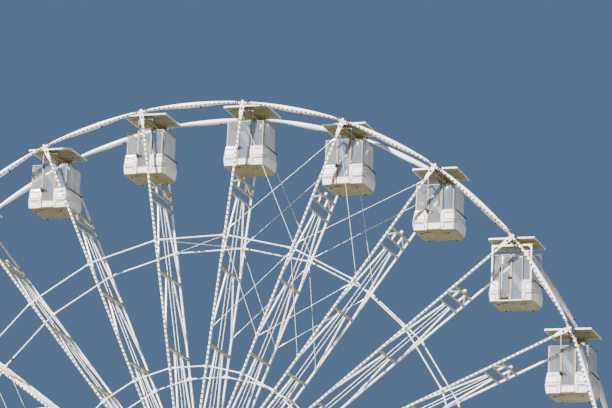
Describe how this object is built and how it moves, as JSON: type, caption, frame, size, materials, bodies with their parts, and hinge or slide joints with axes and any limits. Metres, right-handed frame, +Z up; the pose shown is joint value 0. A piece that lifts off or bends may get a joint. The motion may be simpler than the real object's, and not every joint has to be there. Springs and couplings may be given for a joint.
{
  "type": "observation wheel with level-hanging cabins",
  "caption": "White steel observation wheel on an A-frame stand, with closed glazed cabins that stay level between two rims as it turns.",
  "frame": {"origin": "ground level under the middle of the wheel's hub, at the bottom centre of the bounding box", "axes": "+Z up, Y along the wheel's axle with the front towards -Y, +X to the right seen from the front"},
  "size_m": [34.531, 13.4, 36.5973],
  "materials": {
    "wheel_steel": "white gloss paint, lightly weathered",
    "cabin_shell": "white glass-fibre shell with clear glazing",
    "stand_steel": "white paint",
    "deck_plate": "chequer plate"
  },
  "bodies": {
    "stand": {"base_frame": "stand_steel", "front_legs": "stand_steel", "back_legs": "stand_steel", "boarding_platform": "deck_plate", "boarding_steps": "deck_plate"},
    "wheel": {"front_rim": "wheel_steel", "back_rim": "wheel_steel", "hub": "wheel_steel", "front_mid_ring": "wheel_steel", "back_mid_ring": "wheel_steel", "front_inner_ring": "wheel_steel", "back_inner_ring": "wheel_steel", "spoke_01": "wheel_steel", "spoke_02": "wheel_steel", "spoke_03": "wheel_steel", "spoke_04": "wheel_steel", "spoke_05": "wheel_steel", "spoke_06": "wheel_steel", "spoke_07": "wheel_steel", "spoke_08": "wheel_steel", "spoke_09": "wheel_steel", "spoke_10": "wheel_steel", "spoke_11": "wheel_steel", "spoke_12": "wheel_steel", "spoke_13": "wheel_steel", "spoke_14": "wheel_steel", "spoke_15": "wheel_steel", "spoke_16": "wheel_steel", "spoke_17": "wheel_steel", "spoke_18": "wheel_steel", "spoke_19": "wheel_steel", "spoke_20": "wheel_steel", "spoke_21": "wheel_steel", "spoke_22": "wheel_steel", "spoke_23": "wheel_steel", "spoke_24": "wheel_steel"},
    "cabin_01_body": {"cabin_01": "cabin_shell"},
    "cabin_02_body": {"cabin_02": "cabin_shell"},
    "cabin_03_body": {"cabin_03": "cabin_shell"},
    "cabin_04_body": {"cabin_04": "cabin_shell"},
    "cabin_05_body": {"cabin_05": "cabin_shell"},
    "cabin_06_body": {"cabin_06": "cabin_shell"},
    "cabin_07_body": {"cabin_07": "cabin_shell"},
    "cabin_08_body": {"cabin_08": "cabin_shell"},
    "cabin_09_body": {"cabin_09": "cabin_shell"},
    "cabin_10_body": {"cabin_10": "cabin_shell"},
    "cabin_11_body": {"cabin_11": "cabin_shell"},
    "cabin_12_body": {"cabin_12": "cabin_shell"},
    "cabin_13_body": {"cabin_13": "cabin_shell"},
    "cabin_14_body": {"cabin_14": "cabin_shell"},
    "cabin_15_body": {"cabin_15": "cabin_shell"},
    "cabin_16_body": {"cabin_16": "cabin_shell"},
    "cabin_17_body": {"cabin_17": "cabin_shell"},
    "cabin_18_body": {"cabin_18": "cabin_shell"},
    "cabin_19_body": {"cabin_19": "cabin_shell"},
    "cabin_20_body": {"cabin_20": "cabin_shell"},
    "cabin_21_body": {"cabin_21": "cabin_shell"},
    "cabin_22_body": {"cabin_22": "cabin_shell"},
    "cabin_23_body": {"cabin_23": "cabin_shell"},
    "cabin_24_body": {"cabin_24": "cabin_shell"}
  },
  "joints": [
    {"name": "wheel_spin", "type": "hinge", "parent": "stand", "child": "wheel", "pos_m": [0, 0, 20], "axis": [0, 1, 0], "continuous": true},
    {"name": "cabin_01_swing", "type": "hinge", "parent": "wheel", "child": "cabin_01_body", "pos_m": [1.5719, 0, 36.3245], "axis": [0, 1, 0], "continuous": true},
    {"name": "cabin_02_swing", "type": "hinge", "parent": "wheel", "child": "cabin_02_body", "pos_m": [5.7434, 0, 35.3614], "axis": [0, 1, 0], "continuous": true},
    {"name": "cabin_03_swing", "type": "hinge", "parent": "wheel", "child": "cabin_03_body", "pos_m": [9.5235, 0, 33.3515], "axis": [0, 1, 0], "continuous": true},
    {"name": "cabin_04_swing", "type": "hinge", "parent": "wheel", "child": "cabin_04_body", "pos_m": [12.6546, 0, 30.4317], "axis": [0, 1, 0], "continuous": true},
    {"name": "cabin_05_swing", "type": "hinge", "parent": "wheel", "child": "cabin_05_body", "pos_m": [14.9234, 0, 26.801], "axis": [0, 1, 0], "continuous": true},
    {"name": "cabin_06_swing", "type": "hinge", "parent": "wheel", "child": "cabin_06_body", "pos_m": [16.1751, 0, 22.7068], "axis": [0, 1, 0], "continuous": true},
    {"name": "cabin_07_swing", "type": "hinge", "parent": "wheel", "child": "cabin_07_body", "pos_m": [16.3245, 0, 18.4281], "axis": [0, 1, 0], "continuous": true},
    {"name": "cabin_08_swing", "type": "hinge", "parent": "wheel", "child": "cabin_08_body", "pos_m": [15.3614, 0, 14.2566], "axis": [0, 1, 0], "continuous": true},
    {"name": "cabin_09_swing", "type": "hinge", "parent": "wheel", "child": "cabin_09_body", "pos_m": [13.3515, 0, 10.4765], "axis": [0, 1, 0], "continuous": true},
    {"name": "cabin_10_swing", "type": "hinge", "parent": "wheel", "child": "cabin_10_body", "pos_m": [10.4317, 0, 7.3454], "axis": [0, 1, 0], "continuous": true},
    {"name": "cabin_11_swing", "type": "hinge", "parent": "wheel", "child": "cabin_11_body", "pos_m": [6.801, 0, 5.0766], "axis": [0, 1, 0], "continuous": true},
    {"name": "cabin_12_swing", "type": "hinge", "parent": "wheel", "child": "cabin_12_body", "pos_m": [2.7068, 0, 3.8249], "axis": [0, 1, 0], "continuous": true},
    {"name": "cabin_13_swing", "type": "hinge", "parent": "wheel", "child": "cabin_13_body", "pos_m": [-1.5719, 0, 3.6755], "axis": [0, 1, 0], "continuous": true},
    {"name": "cabin_14_swing", "type": "hinge", "parent": "wheel", "child": "cabin_14_body", "pos_m": [-5.7434, 0, 4.6386], "axis": [0, 1, 0], "continuous": true},
    {"name": "cabin_15_swing", "type": "hinge", "parent": "wheel", "child": "cabin_15_body", "pos_m": [-9.5235, 0, 6.6485], "axis": [0, 1, 0], "continuous": true},
    {"name": "cabin_16_swing", "type": "hinge", "parent": "wheel", "child": "cabin_16_body", "pos_m": [-12.6546, 0, 9.5683], "axis": [0, 1, 0], "continuous": true},
    {"name": "cabin_17_swing", "type": "hinge", "parent": "wheel", "child": "cabin_17_body", "pos_m": [-14.9234, 0, 13.199], "axis": [0, 1, 0], "continuous": true},
    {"name": "cabin_18_swing", "type": "hinge", "parent": "wheel", "child": "cabin_18_body", "pos_m": [-16.1751, 0, 17.2932], "axis": [0, 1, 0], "continuous": true},
    {"name": "cabin_19_swing", "type": "hinge", "parent": "wheel", "child": "cabin_19_body", "pos_m": [-16.3245, 0, 21.5719], "axis": [0, 1, 0], "continuous": true},
    {"name": "cabin_20_swing", "type": "hinge", "parent": "wheel", "child": "cabin_20_body", "pos_m": [-15.3614, 0, 25.7434], "axis": [0, 1, 0], "continuous": true},
    {"name": "cabin_21_swing", "type": "hinge", "parent": "wheel", "child": "cabin_21_body", "pos_m": [-13.3515, 0, 29.5235], "axis": [0, 1, 0], "continuous": true},
    {"name": "cabin_22_swing", "type": "hinge", "parent": "wheel", "child": "cabin_22_body", "pos_m": [-10.4317, 0, 32.6546], "axis": [0, 1, 0], "continuous": true},
    {"name": "cabin_23_swing", "type": "hinge", "parent": "wheel", "child": "cabin_23_body", "pos_m": [-6.801, 0, 34.9234], "axis": [0, 1, 0], "continuous": true},
    {"name": "cabin_24_swing", "type": "hinge", "parent": "wheel", "child": "cabin_24_body", "pos_m": [-2.7068, 0, 36.1751], "axis": [0, 1, 0], "continuous": true}
  ],
  "couplings": [
    {"joint": "cabin_01_swing", "follows": "wheel_spin", "ratio": -1},
    {"joint": "cabin_02_swing", "follows": "wheel_spin", "ratio": -1},
    {"joint": "cabin_03_swing", "follows": "wheel_spin", "ratio": -1},
    {"joint": "cabin_04_swing", "follows": "wheel_spin", "ratio": -1},
    {"joint": "cabin_05_swing", "follows": "wheel_spin", "ratio": -1},
    {"joint": "cabin_06_swing", "follows": "wheel_spin", "ratio": -1},
    {"joint": "cabin_07_swing", "follows": "wheel_spin", "ratio": -1},
    {"joint": "cabin_08_swing", "follows": "wheel_spin", "ratio": -1},
    {"joint": "cabin_09_swing", "follows": "wheel_spin", "ratio": -1},
    {"joint": "cabin_10_swing", "follows": "wheel_spin", "ratio": -1},
    {"joint": "cabin_11_swing", "follows": "wheel_spin", "ratio": -1},
    {"joint": "cabin_12_swing", "follows": "wheel_spin", "ratio": -1},
    {"joint": "cabin_13_swing", "follows": "wheel_spin", "ratio": -1},
    {"joint": "cabin_14_swing", "follows": "wheel_spin", "ratio": -1},
    {"joint": "cabin_15_swing", "follows": "wheel_spin", "ratio": -1},
    {"joint": "cabin_16_swing", "follows": "wheel_spin", "ratio": -1},
    {"joint": "cabin_17_swing", "follows": "wheel_spin", "ratio": -1},
    {"joint": "cabin_18_swing", "follows": "wheel_spin", "ratio": -1},
    {"joint": "cabin_19_swing", "follows": "wheel_spin", "ratio": -1},
    {"joint": "cabin_20_swing", "follows": "wheel_spin", "ratio": -1},
    {"joint": "cabin_21_swing", "follows": "wheel_spin", "ratio": -1},
    {"joint": "cabin_22_swing", "follows": "wheel_spin", "ratio": -1},
    {"joint": "cabin_23_swing", "follows": "wheel_spin", "ratio": -1},
    {"joint": "cabin_24_swing", "follows": "wheel_spin", "ratio": -1}
  ]
}
